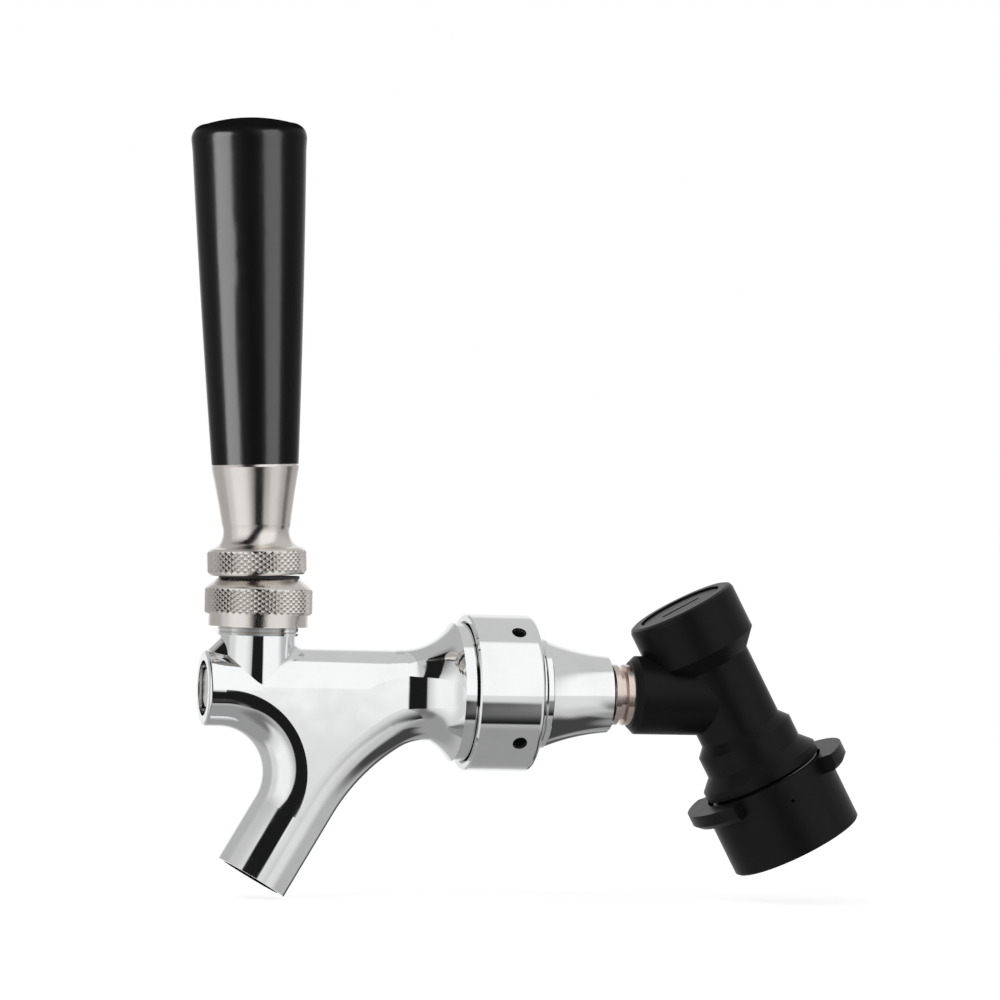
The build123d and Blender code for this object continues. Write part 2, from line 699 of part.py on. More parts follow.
def adapter_body():
    """The trumpet-shaped adapter: flange, collar, taper, and a flare socket at its end."""
    flange_r = THREAD_R - RUN
    lines = Polyline(
        (CAVITY_R, FLANGE_X),
        (flange_r, FLANGE_X),
        (flange_r, FLANGE_X + FLANGE),
        (COLLAR_R, FLANGE_X + FLANGE),
        (COLLAR_R, COLLAR_GROOVE_X - COLLAR_GROOVE),
        (COLLAR_R - COLLAR_GROOVE, COLLAR_GROOVE_X),
        (COLLAR_R, COLLAR_GROOVE_X + COLLAR_GROOVE),
        (COLLAR_R, COLLAR_END_X),
        (TRUMPET_START_R, COLLAR_END_X + 0.2),
    )
    end = (TRUMPET_END_R, ADAPTER_END_X - CHAMFER)
    lines += ThreePointArc(lines @ 1, (TRUMPET_MID_R, TRUMPET_MID_X), end)
    lines += Polyline(
        end,
        (TRUMPET_END_R - CHAMFER, ADAPTER_END_X),
        (FLARE_THREAD_R + RUN, ADAPTER_END_X),
        (FLARE_THREAD_R + RUN, FLARE_BORE_X),
        (CHANNEL_R, FLARE_BORE_X),
        (CHANNEL_R, CAVITY_END_X + CAVITY_TAPER),
        (CAVITY_R, CAVITY_END_X),
        (CAVITY_R, FLANGE_X),
    )
    return ALONG_VALVE * spun(lines)


def flare_washer():
    end = FLARE_BORE_X + FLARE_WASHER
    return ALONG_VALVE * ring(FLARE_THREAD_R - 0.4, CHANNEL_R - 0.4, FLARE_BORE_X, end)


def flare_insert():
    """The metal stem moulded into the arm: flare thread, two shoulder rings and a plain tail."""
    first = ADAPTER_END_X + 0.4
    second = ARM_END_X - INSERT_RING
    insert = turned(
        (INSERT_CHANNEL_R, NOSE_TIP_X),
        (FLARE_THREAD_R - 1.6, NOSE_TIP_X),
        (FLARE_THREAD_R, NOSE_TIP_X + 1.6),
        (FLARE_THREAD_R, first),
        (INSERT_SHOULDER_R - CHAMFER, first),
        (INSERT_SHOULDER_R, first + CHAMFER),
        (INSERT_SHOULDER_R, first + INSERT_RING - CHAMFER),
        (INSERT_GROOVE_R, first + INSERT_RING),
        (INSERT_GROOVE_R, second),
        (INSERT_SHOULDER_R, second + CHAMFER),
        (INSERT_SHOULDER_R, ARM_END_X),
        (INSERT_TAIL_R, ARM_END_X),
        (INSERT_TAIL_R, INSERT_TAIL_END_X),
        (INSERT_CHANNEL_R, INSERT_TAIL_END_X),
    )
    return ALONG_VALVE * insert


# ---------------------------------------------------------------- disconnect

def disconnect_body():
    """The moulded body: socket sleeve, two rings, barrel, head and side arm."""
    shell = turned(
        (0, 0),
        (SLEEVE_R, 0),
        (SLEEVE_R, RING2_BOTTOM),
        (RING2_R, RING2_BOTTOM),
        (RING2_R, RING2_TOP),
        (RING1_R, RING1_BOTTOM),
        (RING1_R, RING1_TOP),
        (BARREL_R, BARREL_BOTTOM),
        (BARREL_R, BARREL_TOP),
        (HEAD_R, HEAD_BOTTOM),
        (HEAD_R, HEAD_TOP - HEAD_ROUND),
        (HEAD_R - HEAD_ROUND * 0.3, HEAD_TOP - HEAD_ROUND * 0.3),
        (HEAD_R - HEAD_ROUND, HEAD_TOP),
        (0, HEAD_TOP),
    )
    arm = turned(
        (0, ARM_END_X),
        (ARM_R - ARM_CHAMFER, ARM_END_X),
        (ARM_R, ARM_END_X + ARM_CHAMFER),
        (ARM_R, ARM_X),
        (0, ARM_X),
    )
    body = ON_DISCONNECT * shell + ALONG_VALVE * arm
    cap_seat = HEAD_TOP - CAP_SINK - CAP_DISC
    inside = turned(
        (0, -PAST),
        (ENTRY_R, -PAST),
        (ENTRY_R, SEAT_BOTTOM - ENTRY_LEAD),
        (SOCKET_R, SEAT_BOTTOM),
        (SOCKET_R, SOCKET_DEPTH),
        (NOSE_BORE_R, SOCKET_DEPTH),
        (NOSE_BORE_R, SOCKET_DEPTH + NOSE_BORE_DEPTH),
        (0, SOCKET_DEPTH + NOSE_BORE_DEPTH),
    )
    inside += rod(PIN_BORE_R, SOCKET_DEPTH, CHAMBER_FLOOR) + rod(CHAMBER_R, CHAMBER_FLOOR, HEAD_TOP)
    inside += rod(CAP_PLUG_R + RUN, CAP_PLUG_BOTTOM, HEAD_TOP)
    inside += rod(CAP_R + CAP_GAP, cap_seat, HEAD_TOP + PAST)
    inside += ring(SLEEVE_R + PAST, CLIP_GROOVE_R, CLIP_BOTTOM, CLIP_BOTTOM + CLIP)
    for i in range(LOCK_BALLS):
        inside += ball_placing(i) * ball_hole()
    body -= ON_DISCONNECT * inside
    body -= ALONG_VALVE * rod(INSERT_TAIL_R, ARM_END_X - PAST, INSERT_TAIL_END_X)
    return body - ALONG_VALVE * rod(PORT_R, ARM_END_X, ARM_X)


def ball_placing(number):
    """The frame of one locking ball: its Z runs outward from the socket's axis."""
    return Rot(0, 0, 45 + number * 360 / LOCK_BALLS) * Pos(0, 0, LOCK_BALL_HEIGHT) * Rot(0, 90, 0)


def ball_rest():
    """How far a ball's centre lies from the socket's axis while the collar is down."""
    return ENTRY_R + LOCK_BALL_R - LOCK_BALL_BITE


def ball_hole():
    """The hole in the sleeve for a ball, narrowed at the socket so that the ball can't drop in."""
    centre = ball_rest()
    size = LOCK_BALL_R + RUN
    small = sqrt(size**2 - (centre - ENTRY_R) ** 2)
    middle = (ENTRY_R + centre) / 2
    arc = ThreePointArc((small, ENTRY_R), (sqrt(size**2 - (centre - middle) ** 2), middle), (size, centre))
    rest = Polyline(
        (size, centre),
        (size, SLEEVE_R + PAST),
        (0, SLEEVE_R + PAST),
        (0, ENTRY_R - PAST),
        (small, ENTRY_R - PAST),
        (small, ENTRY_R),
    )
    return spun(arc + rest)


def locking_ball(number):
    return ON_DISCONNECT * ball_placing(number) * Pos(0, 0, ball_rest()) * Sphere(LOCK_BALL_R)


def cam_radius(height):
    """Inner radius of the collar's cam: it lets the balls out as the collar lifts."""
    slope = LOCK_BALL_BITE / COLLAR_TRAVEL
    reach = LOCK_BALL_R * sqrt(1 + slope**2) + RUN
    return ball_rest() + reach + slope * (LOCK_BALL_HEIGHT - height)


def release_collar():
    """The sliding skirt: two finger lugs, the ball cam below and the spring's well above."""
    lip = SLEEVE_R + 2 * RUN
    cam_top = SPRING_SHELF - CAM_LIP
    skirt = turned(
        (cam_radius(0), 0),
        (SKIRT_R - CHAMFER, 0),
        (SKIRT_R, CHAMFER),
        (SKIRT_R, SKIRT_TOP),
        (SPRING_WELL_R, SKIRT_TOP),
        (SPRING_WELL_R, SPRING_SHELF),
        (lip, SPRING_SHELF),
        (lip, cam_top),
        (cam_radius(cam_top), cam_top),
    )
    lug_ring = turned(
        (SKIRT_R - INSIDE, LUG_BOTTOM),
        (LUG_R - LUG_CHAMFER, LUG_BOTTOM),
        (LUG_R, LUG_BOTTOM + LUG_CHAMFER),
        (LUG_R, SKIRT_TOP),
        (SKIRT_R - INSIDE, SKIRT_TOP),
    )
    reach = 2 * LUG_R
    half = radians(LUG_HALF_ANGLE)
    side_x, side_y = reach * cos(half), reach * sin(half)
    wedge = Polyline((0, 0), (side_x, -side_y), (side_x, side_y), close=True)
    sector = extrude(make_face(wedge), 2 * SKIRT_TOP)
    collar = skirt
    for turn in (0, 180):
        collar += lug_ring & (Rot(0, 0, turn) * sector)
    vent = Pos(0, -SKIRT_R, LUG_BOTTOM - VENT_DROP) * Rot(90, 0, 0) * Cylinder(VENT_R, 4)
    return ON_DISCONNECT * (collar - vent)


def collar_retaining_ring():
    """The snap ring under the collar, with the gap that its fitting needs."""
    clip = ring(CLIP_R, CLIP_GROOVE_R + RUN, CLIP_BOTTOM + 0.02, CLIP_BOTTOM + CLIP - 0.02)
    gap = Pos(CLIP_R - CLIP, 0, CLIP_BOTTOM) * Box(2 * CLIP_GAP, CLIP_GAP, 2 * CLIP_GAP)
    return ON_DISCONNECT * (clip - gap)


def collar_spring():
    low = SPRING_SHELF + RUN
    high = RING2_BOTTOM - RUN
    return ON_DISCONNECT * coil(COLLAR_SPRING_R, COLLAR_SPRING_WIRE, COLLAR_SPRING_TURNS, low, high)


def disconnect_cap():
    """The screw cap in the head: a slotted disc, a threaded plug and the valve's guide."""
    top = HEAD_TOP - CAP_SINK
    seat = top - CAP_DISC + 0.02
    cap = turned(
        (PIN_STEM_R + 0.1, CAP_GUIDE_BOTTOM),
        (CAP_GUIDE_R, CAP_GUIDE_BOTTOM),
        (CAP_GUIDE_R, CAP_PLUG_BOTTOM),
        (CAP_PLUG_R, CAP_PLUG_BOTTOM),
        (CAP_PLUG_R, seat),
        (CAP_R, seat),
        (CAP_R, top - CHAMFER),
        (CAP_R - CHAMFER, top),
        (0, top),
        (0, PIN_TOP + PIN_TRAVEL + 1),
        (PIN_STEM_R + 0.1, PIN_TOP + PIN_TRAVEL + 1),
    )
    slot = Pos(0, 0, top) * Box(SLOT_LENGTH, SLOT_WIDTH, 2 * SLOT_DEPTH)
    return ON_DISCONNECT * (cap - slot)


def cap_o_ring():
    wire = (CHAMBER_R - CAP_GUIDE_R) / 2 - 0.03
    mean = (CHAMBER_R + CAP_GUIDE_R) / 2
    return ON_DISCONNECT * Pos(0, 0, CAP_PLUG_BOTTOM - wire - 0.02) * Torus(mean, wire)


def depressor_pin():
    """The valve pin: the keg post pushes its tip and lifts the head off its seat."""
    head_top = PIN_HEAD_BOTTOM + PIN_HEAD
    pin = turned(
        (0, PIN_TIP),
        (PIN_R - CHAMFER, PIN_TIP),
        (PIN_R, PIN_TIP + CHAMFER),
        (PIN_R, PIN_HEAD_BOTTOM),
        (PIN_HEAD_R, PIN_HEAD_BOTTOM),
        (PIN_HEAD_R, head_top),
        (PIN_STEM_R, head_top),
        (PIN_STEM_R, PIN_TOP),
        (0, PIN_TOP),
    )
    return ON_DISCONNECT * pin


def pin_seal():
    return ON_DISCONNECT * ring(PIN_HEAD_R, PIN_R + RUN, CHAMBER_FLOOR + SEAT_GAP, PIN_HEAD_BOTTOM)


def pin_spring():
    low = PIN_HEAD_BOTTOM + PIN_HEAD + RUN
    high = CAP_GUIDE_BOTTOM - RUN
    return ON_DISCONNECT * coil(PIN_SPRING_R, PIN_SPRING_WIRE, PIN_SPRING_TURNS, low, high)


PIECES = {
    "handle_grip": handle_grip,
    "grip_insert": grip_insert,
    "ferrule": ferrule,
    "ferrule_jam_nut": ferrule_jam_nut,
    "lever": lever,
    "bonnet_nut": bonnet_nut,
    "dust_ring": dust_ring,
    "friction_ring": friction_ring,
    "ball_washer": ball_washer,
    "faucet_body": faucet_body,
    "valve_shaft": valve_shaft,
    "shaft_o_rings": shaft_o_rings,
    "shaft_seat_washer": shaft_seat_washer,
    "shaft_nut": shaft_nut,
    "coupling_gasket": coupling_gasket,
    "coupling_nut": coupling_nut,
    "adapter_body": adapter_body,
    "flare_washer": flare_washer,
    "flare_insert": flare_insert,
    "disconnect_body": disconnect_body,
    "disconnect_cap": disconnect_cap,
    "cap_o_ring": cap_o_ring,
    "depressor_pin": depressor_pin,
    "pin_seal": pin_seal,
    "pin_spring": pin_spring,
    "release_collar": release_collar,
    "collar_spring": collar_spring,
    "collar_retaining_ring": collar_retaining_ring,
}

os.makedirs("parts", exist_ok=True)
for name, make in PIECES.items():
    export_step(make(), f"parts/{name}.step")
for number in range(LOCK_BALLS):
    export_step(locking_ball(number), f"parts/locking_ball_{number + 1}.step")
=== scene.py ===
import json
import math

import bmesh
import bpy
from mathutils import Matrix, Vector


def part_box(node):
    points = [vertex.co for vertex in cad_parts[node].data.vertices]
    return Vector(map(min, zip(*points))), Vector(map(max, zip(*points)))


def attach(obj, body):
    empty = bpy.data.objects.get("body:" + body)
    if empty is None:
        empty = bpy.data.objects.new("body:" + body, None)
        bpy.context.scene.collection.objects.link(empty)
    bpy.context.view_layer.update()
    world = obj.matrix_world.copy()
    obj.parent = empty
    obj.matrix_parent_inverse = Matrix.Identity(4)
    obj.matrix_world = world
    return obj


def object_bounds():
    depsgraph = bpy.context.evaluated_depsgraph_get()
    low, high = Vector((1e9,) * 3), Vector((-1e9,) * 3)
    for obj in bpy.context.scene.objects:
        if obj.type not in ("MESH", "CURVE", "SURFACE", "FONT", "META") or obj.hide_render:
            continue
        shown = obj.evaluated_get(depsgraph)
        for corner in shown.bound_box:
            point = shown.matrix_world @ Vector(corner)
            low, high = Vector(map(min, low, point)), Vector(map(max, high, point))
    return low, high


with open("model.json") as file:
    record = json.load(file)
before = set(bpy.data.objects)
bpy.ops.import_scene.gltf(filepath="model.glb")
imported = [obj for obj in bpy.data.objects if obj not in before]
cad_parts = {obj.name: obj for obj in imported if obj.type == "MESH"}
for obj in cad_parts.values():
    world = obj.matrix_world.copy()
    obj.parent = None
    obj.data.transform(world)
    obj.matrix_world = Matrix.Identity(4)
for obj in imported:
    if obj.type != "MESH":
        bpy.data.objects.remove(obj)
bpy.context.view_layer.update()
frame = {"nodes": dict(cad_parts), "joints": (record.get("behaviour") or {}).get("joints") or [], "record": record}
nodes = frame["nodes"]
joints = {joint["name"]: joint for joint in frame["joints"]}


# ---------------------------------------------------------------- faucet body
# The body is one brass casting, machined, ground and polished, then plated with nickel and
# chrome. The plate is a near mirror, with long soft waves from the polishing wheel and a
# little haze where hands have wiped it.

class Channel:
    """A value inside a finish. Arithmetic on it adds Math nodes."""

    def __init__(self, finish, socket):
        self.finish = finish
        self.socket = socket

    def math(self, operation, *values):
        return self.finish.node("Math", {"operation": operation}, values)

    def __add__(self, other):
        return self.math("ADD", self, other)

    def __sub__(self, other):
        return self.math("SUBTRACT", self, other)

    def __rsub__(self, other):
        return self.math("SUBTRACT", other, self)

    def __mul__(self, other):
        return self.math("MULTIPLY", self, other)

    __radd__ = __add__
    __rmul__ = __mul__

    def above(self, edge, softness):
        """0 below the edge and 1 above it, with a soft step between."""
        low, high = edge - softness, edge + softness
        return self.finish.node(
            "MapRange", {"interpolation_type": "SMOOTHSTEP"}, (self, low, high, 0.0, 1.0)
        )


class Wiring:
    """A tree of shader nodes."""

    def __init__(self, tree):
        self.tree = tree

    def node(self, kind, settings=(), inputs=(), output=0):
        """Adds a node: its settings, then the values or links of its sockets, in order or by name."""
        made = self.tree.nodes.new("ShaderNode" + kind)
        for word, value in dict(settings).items():
            setattr(made, word, value)
        named = inputs.items() if isinstance(inputs, dict) else enumerate(inputs)
        for place, value in named:
            if isinstance(value, Channel):
                self.tree.links.new(value.socket, made.inputs[place])
            elif value is not None:
                made.inputs[place].default_value = value
        return Channel(self, made.outputs[output])

    def dot(self, direction, along):
        """How far a direction points along another, from -1 to 1."""
        return self.node("VectorMath", {"operation": "DOT_PRODUCT"}, (direction, along), output="Value")


class Finish(Wiring):
    """A surface finish: one Principled shader, and the nodes that vary it over the surface."""

    def __init__(self, name, **constants):
        self.material = bpy.data.materials.new(name)
        self.material.use_nodes = True
        super().__init__(self.material.node_tree)
        self.shader = self.tree.nodes["Principled BSDF"]
        for word, value in constants.items():
            self.shader.inputs[word.replace("_", " ")].default_value = value

    def where(self, place=Matrix.Identity(4)):
        """Positions on the piece in metres, seen from a frame of the piece's own."""
        turn = place.inverted()
        point = self.node("TexCoord", output="Object")
        return self.node(
            "Mapping",
            {"vector_type": "POINT"},
            {"Vector": point, "Location": turn.to_translation(), "Rotation": turn.to_euler("XYZ")},
        )

    def noise(self, point, size, detail=2.0, roughness=0.5):
        """Cloudy noise from 0 to 1, whose blotches are about this many metres across."""
        values = {"Vector": point, "Scale": 1 / size, "Detail": detail, "Roughness": roughness}
        return self.node("TexNoise", inputs=values)

    def vary(self, word, channel):
        """Wires a channel to one of the shader's inputs."""
        self.tree.links.new(channel.socket, self.shader.inputs[word])

    def blend_colour(self, mask, low, high):
        """A colour that goes from one to another as the mask goes from 0 to 1."""
        low, high = (c if isinstance(c, Channel) else (*c, 1.0) for c in (low, high))
        return self.node("Mix", {"data_type": "RGBA"}, {0: mask, 6: low, 7: high}, output=2)

    def across_and_along(self, place):
        """Three channels in metres: the two across the Z axis of a place, and the one along it."""
        split = self.node("SeparateXYZ", inputs=(self.where(place),))
        return [Channel(self, socket) for socket in split.socket.node.outputs]

    def bump(self, height, metres):
        """Fine relief: the height goes from 0 to 1 over this many metres."""
        relief = self.node("Bump", inputs={"Strength": 1.0, "Distance": metres, "Height": height})
        self.vary("Normal", relief)


def dress(finish, *names):
    """Gives a finish to solids of the frame."""
    for name in names:
        nodes[name].data.materials.clear()
        nodes[name].data.materials.append(finish.material)


CHROME = (0.88, 0.885, 0.89)
HAZY_CHROME = (0.83, 0.835, 0.84)
DEEP_WAVE = 0.00002
LOW_WAVE = 0.00001


def chrome_plate(name, wave, recess=None):
    """Polished chrome plate with waves of a depth in metres. A recess, if any, is painted near black, matte and
    not metal, as painted shade.
    """
    chrome = Finish(name, Metallic=1.0)
    point = chrome.where()
    wiped = chrome.noise(point, 0.011, detail=4.0, roughness=0.6).above(0.6, 0.18)
    colour = chrome.blend_colour(wiped, CHROME, HAZY_CHROME)
    rough = 0.035 + 0.05 * wiped
    if recess:
        # the recess is painted near black, matte and not metal: painted shade in the holes
        recess_shade = recess(chrome)
        colour = chrome.blend_colour(recess_shade, colour, (0.012, 0.011, 0.010))
        rough = 0.04 + 0.6 * recess_shade
        chrome.vary("Metallic", 1 - recess_shade)
    chrome.vary("Base Color", colour)
    chrome.vary("Roughness", rough)
    chrome.bump(chrome.noise(point, 0.009, detail=1.0), wave)
    return chrome


dress(chrome_plate("chrome_casting", DEEP_WAVE), "faucet_body")


# ---------------------------------------------------------------- valve shaft
# The shaft is turned stainless steel, with two rubber rings in its piston. A rubber washer,
# held by a thin nut on the shaft's thread, closes the valve. Its front end shows in the boss.

def turned_metal(name, colour, place, pitch, marks, rough):
    """Bright turned metal: fine rings about the local Z axis, where the tool has passed."""
    metal = Finish(name, Metallic=1.0)
    point = metal.where(place)
    along = metal.across_and_along(place)[2]
    drift = metal.noise(point, 0.004, detail=2.0)
    rings = metal.node("Math", {"operation": "SINE"}, (along * (math.tau / pitch) + drift * 4.0,))
    dull = metal.noise(point, 0.006, detail=5.0, roughness=0.65)
    metal.vary("Roughness", rough + 0.12 * dull + 0.03 * rings)
    metal.vary("Base Color", metal.blend_colour(dull, [c * 0.86 for c in colour], colour))
    metal.bump(rings * 0.5 + metal.noise(point, 0.0006, detail=3.0), marks)
    return metal


def frame_along(origin, direction):
    """A frame at a point whose Z runs along a direction."""
    turn = Vector(direction).to_track_quat("Z", "X").to_matrix().to_4x4()
    return Matrix.Translation(Vector(origin)) @ turn


def middle(name):
    """The middle of a solid's box."""
    low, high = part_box(name)
    return (low + high) / 2


valve_axis = frame_along(middle("coupling_nut"), (1, 0, 0))
STEEL = (0.62, 0.61, 0.60)
FINE_FEED = 0.00018
FEED = 0.0002
shaft_steel = turned_metal("turned_steel_shaft", STEEL, valve_axis, FINE_FEED, 0.000012, 0.14)
dress(shaft_steel, "valve_shaft", "shaft_nut")


def moulded_rubber(name, colour, rough):
    """Rubber with the faint grey bloom of its mould."""
    rubber = Finish(name, Metallic=0.0)
    point = rubber.where()
    bloom = rubber.noise(point, 0.0035, detail=4.0, roughness=0.6).above(0.55, 0.2)
    rubber.vary("Base Color", rubber.blend_colour(bloom, colour, [c * 1.9 for c in colour]))
    rubber.vary("Roughness", rough + 0.14 * bloom)
    rubber.bump(rubber.noise(point, 0.0003, detail=2.0), 0.00001)
    return rubber


nitrile = moulded_rubber("black_nitrile", (0.018, 0.018, 0.019), 0.5)
dress(nitrile, "shaft_o_rings", "shaft_seat_washer")


# ---------------------------------------------------------------- lever and its nylon seat
# The lever is one turned piece: a ball that rocks between two nylon rings, a tail that pushes
# the shaft, and a threaded stud that carries the ferrule and the grip.

lever_pivot = Vector(joints["lever_tilt"]["pos_m"])
lever_axis = frame_along(lever_pivot, middle("grip_insert") - lever_pivot)
neck_axis = frame_along(lever_pivot, (0, 0, 1))
dress(turned_metal("turned_steel_lever", STEEL, lever_axis, FEED, 0.000012, 0.16), "lever")

nylon = Finish(
    "natural_nylon", Metallic=0.0, Subsurface_Weight=0.15, Subsurface_Radius=(0.002, 0.0016, 0.001)
)
nylon_point = nylon.where()
nylon_cloud = nylon.noise(nylon_point, 0.004, detail=3.0)
nylon.vary("Base Color", nylon.blend_colour(nylon_cloud, (0.74, 0.73, 0.68), (0.82, 0.81, 0.77)))
nylon.vary("Roughness", 0.38 + 0.12 * nylon_cloud)
nylon.bump(nylon.noise(nylon_point, 0.0004, detail=2.0), 0.000008)
dress(nylon, "friction_ring", "ball_washer")


# ---------------------------------------------------------------- bonnet nut
# The bonnet nut is turned brass with satin nickel plate. It screws over the neck and presses
# the nylon rings on the lever's ball. A diamond knurl is rolled round it for the fingers.

NICKEL = (0.82, 0.78, 0.74)
NICKEL_FEED = 0.00022


def satin_nickel(name, place):
    return turned_metal(name, NICKEL, place, NICKEL_FEED, 0.000006, 0.11)


def rolled_band(name, place, radius, low, high, columns, rows, depth, raised):
    """A closed ring with a rolled pattern: a grid whose raised points stand out by the depth.

    The grid has two steps to each column and to each row, so every raised point has low ones
    round it. The ring goes from low to high along the Z axis of its place.
    """
    bpy.ops.object.select_all(action="DESELECT")
    bpy.ops.mesh.primitive_cylinder_add(
        vertices=2 * columns, radius=radius, depth=high - low, end_fill_type="NOTHING",
        location=(0, 0, (low + high) / 2),
    )
    band = bpy.context.object
    band.name = name
    bpy.ops.object.mode_set(mode="EDIT")
    bpy.ops.mesh.select_all(action="DESELECT")
    mesh = bmesh.from_edit_mesh(band.data)
    for edge in mesh.edges:
        edge.select = abs(edge.verts[0].co.z - edge.verts[1].co.z) > depth
    bmesh.update_edit_mesh(band.data)
    bpy.ops.mesh.subdivide(number_cuts=2 * rows - 1)
    bpy.ops.mesh.select_all(action="DESELECT")
    mesh = bmesh.from_edit_mesh(band.data)
    step = (high - low) / (2 * rows)
    half = (high - low) / 2
    for vert in mesh.verts:
        row = round((vert.co.z + half) / step)
        column = round(math.atan2(vert.co.y, vert.co.x) / math.pi * columns)
        vert.select = 0 < row < 2 * rows and raised(row, column)
    mesh.select_flush(True)
    bmesh.update_edit_mesh(band.data)
    grow = 1 + depth / radius
    bpy.ops.transform.resize(value=(grow, grow, 1), center_override=(0, 0, 0))
    bpy.ops.mesh.select_all(action="SELECT")
    bpy.ops.mesh.quads_convert_to_tris(quad_method="SHORTEST_DIAGONAL")
    bpy.ops.mesh.select_all(action="DESELECT")
    bpy.ops.mesh.select_non_manifold(extend=False)
    bpy.ops.mesh.extrude_region_move()
    shrink = 1 - 2 * depth / radius
    bpy.ops.transform.resize(value=(shrink, shrink, 1), center_override=(0, 0, 0))
    bpy.ops.mesh.bridge_edge_loops()
    bpy.ops.mesh.select_all(action="SELECT")
    bpy.ops.mesh.normals_make_consistent(inside=False)
    bpy.ops.object.mode_set(mode="OBJECT")
    band.matrix_world = place @ band.matrix_world
    bpy.ops.object.transform_apply(location=True, rotation=True, scale=True)
    bpy.ops.object.shade_flat()
    return band


def diamonds(row, column):
    return (row + column) % 2 == 0


KNURL_DEPTH = 0.0004
dress(satin_nickel("satin_nickel_bonnet", neck_axis), "bonnet_nut")
dress(nitrile, "dust_ring")
bonnet_low, bonnet_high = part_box("bonnet_nut")
bonnet_knurl = rolled_band(
    "bonnet_knurl",
    place=Matrix.Translation((lever_pivot.x, 0, bonnet_low.z)),
    radius=(bonnet_high.x - bonnet_low.x) / 2,
    low=0.00305,
    high=0.0092,
    columns=46,
    rows=5,
    depth=KNURL_DEPTH,
    raised=diamonds,
)
bonnet_knurl.data.materials.append(satin_nickel("satin_nickel_bonnet_knurl", neck_axis).material)
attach(bonnet_knurl, "faucet_and_disconnect")


# ---------------------------------------------------------------- neck thread
# The thread under the bonnet nut is cut in the neck before it is plated. Two turns of it stay
# in sight, modelled as a ring that is set on the neck.

def ridges(row, column):
    return row % 2 == 1


neck_thread = rolled_band(
    "neck_thread",
    place=neck_axis,
    radius=0.0097,
    low=-0.0029,
    high=-0.0009,
    columns=60,
    rows=2,
    depth=0.00025,
    raised=ridges,
)
neck_thread.data.materials.append(chrome_plate("chrome_thread", LOW_WAVE / 2).material)
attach(neck_thread, "faucet_and_disconnect")


# ---------------------------------------------------------------- jam nut and ferrule
# A knurled jam nut on the lever's stud locks the ferrule and the grip above it. Both are
# turned brass with satin nickel plate, and the ferrule's taper carries on the grip's line.

dress(satin_nickel("satin_nickel_ferrule", lever_axis), "ferrule_jam_nut", "ferrule")
jam_low, jam_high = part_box("ferrule_jam_nut")
jam_knurl = rolled_band(
    "jam_nut_knurl",
    place=lever_axis,
    radius=(jam_high.y - jam_low.y) / 2,
    low=0.0123,
    high=0.0177,
    columns=42,
    rows=4,
    depth=KNURL_DEPTH,
    raised=diamonds,
)
jam_knurl.data.materials.append(satin_nickel("satin_nickel_jam_knurl", lever_axis).material)
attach(jam_knurl, "lever")


# ---------------------------------------------------------------- grip
# The grip is moulded in black thermoset plastic round a brass threaded insert. Its gloss
# is painted by facing: the side toward the camera and the soft boxes keeps a glossy coat, and the top and back
# lose it, as painted shade that keeps the soft boxes' highlight off them.

BRASS = (0.78, 0.60, 0.32)
dress(turned_metal("turned_brass", BRASS, lever_axis, 0.0003, 0.00001, 0.22), "grip_insert")

grip = Finish(
    "gloss_black_grip", Metallic=0.0, Specular_IOR_Level=0.0, Coat_IOR=1.17, Coat_Roughness=0.21
)
grip_point = grip.where(lever_axis)
grip_drawn = grip.node("Mapping", inputs={"Vector": grip_point, "Scale": (1.0, 1.0, 0.25)})
grip_smear = grip.noise(grip_drawn, 0.006, detail=4.0)
grip.vary("Base Color", grip.blend_colour(grip_smear, (0.004, 0.004, 0.004), (0.007, 0.007, 0.0072)))
grip.vary("Roughness", 0.35 + 0.1 * grip_smear)
# painted shade by facing: the coat is full on the side toward the camera and the soft boxes, and gone on the top
# and back
lamp_side = (-0.24, -0.97, 0.0)
upwards = (0.0, 0.0, 1.0)
grip_facing = grip.node("TexCoord", output="Normal")
grip_front = grip.dot(grip_facing, lamp_side).above(-0.1, 0.15)
grip_top = grip.dot(grip_facing, upwards).above(0.5, 0.2)
grip.vary("Coat Weight", grip_front * (1 - grip_top) * (1 - 0.12 * grip_smear))
grip.bump(grip.noise(grip_point, 0.0005, detail=2.0), 0.000006)
dress(grip, "handle_grip")


# ---------------------------------------------------------------- coupling nut
# The coupling nut is turned brass with chrome plate, and has four blind holes for a pin
# spanner. It draws the adapter's flange against the rubber gasket on the faucet's thread.

def spanner_holes(finish):
    """1 inside the spanner holes: deeper than the nut's rim, and clear of its two end faces."""
    low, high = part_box("coupling_nut")
    rim = (high.z - low.z) / 2 - 0.0006
    front, back, softness = 0.0005, 0.0048, 0.0001
    x, y, along = finish.across_and_along(valve_axis)
    deep = 1 - (x * x + y * y).above(rim ** 2, 0.000004)
    return deep * along.above(front, softness) * (1 - along.above(back, softness))


# the spanner holes are painted near black and matte inside, as painted shade
dress(chrome_plate("chrome_turned", LOW_WAVE, spanner_holes), "coupling_nut")
dress(nitrile, "coupling_gasket")


# ---------------------------------------------------------------- adapter
# The adapter is turned from brass bar and chrome plated: a flange inside the nut, a collar, a
# trumpet taper and a flare socket, with a nylon washer at the bottom of the socket.

dress(chrome_plate("chrome_adapter", LOW_WAVE), "adapter_body")
dress(nylon, "flare_washer")
WARM_STEEL = (0.76, 0.65, 0.60)
dress(turned_metal("turned_steel_flare", WARM_STEEL, valve_axis, FEED, 0.000006, 0.1), "flare_insert")


# ---------------------------------------------------------------- disconnect
# The disconnect's body and its screw cap are moulded in black acetal, which comes from the
# mould with an even low sheen. The cap is tightened with a coin or a wide screwdriver.

BLACK = (0.0045, 0.0045, 0.0048)


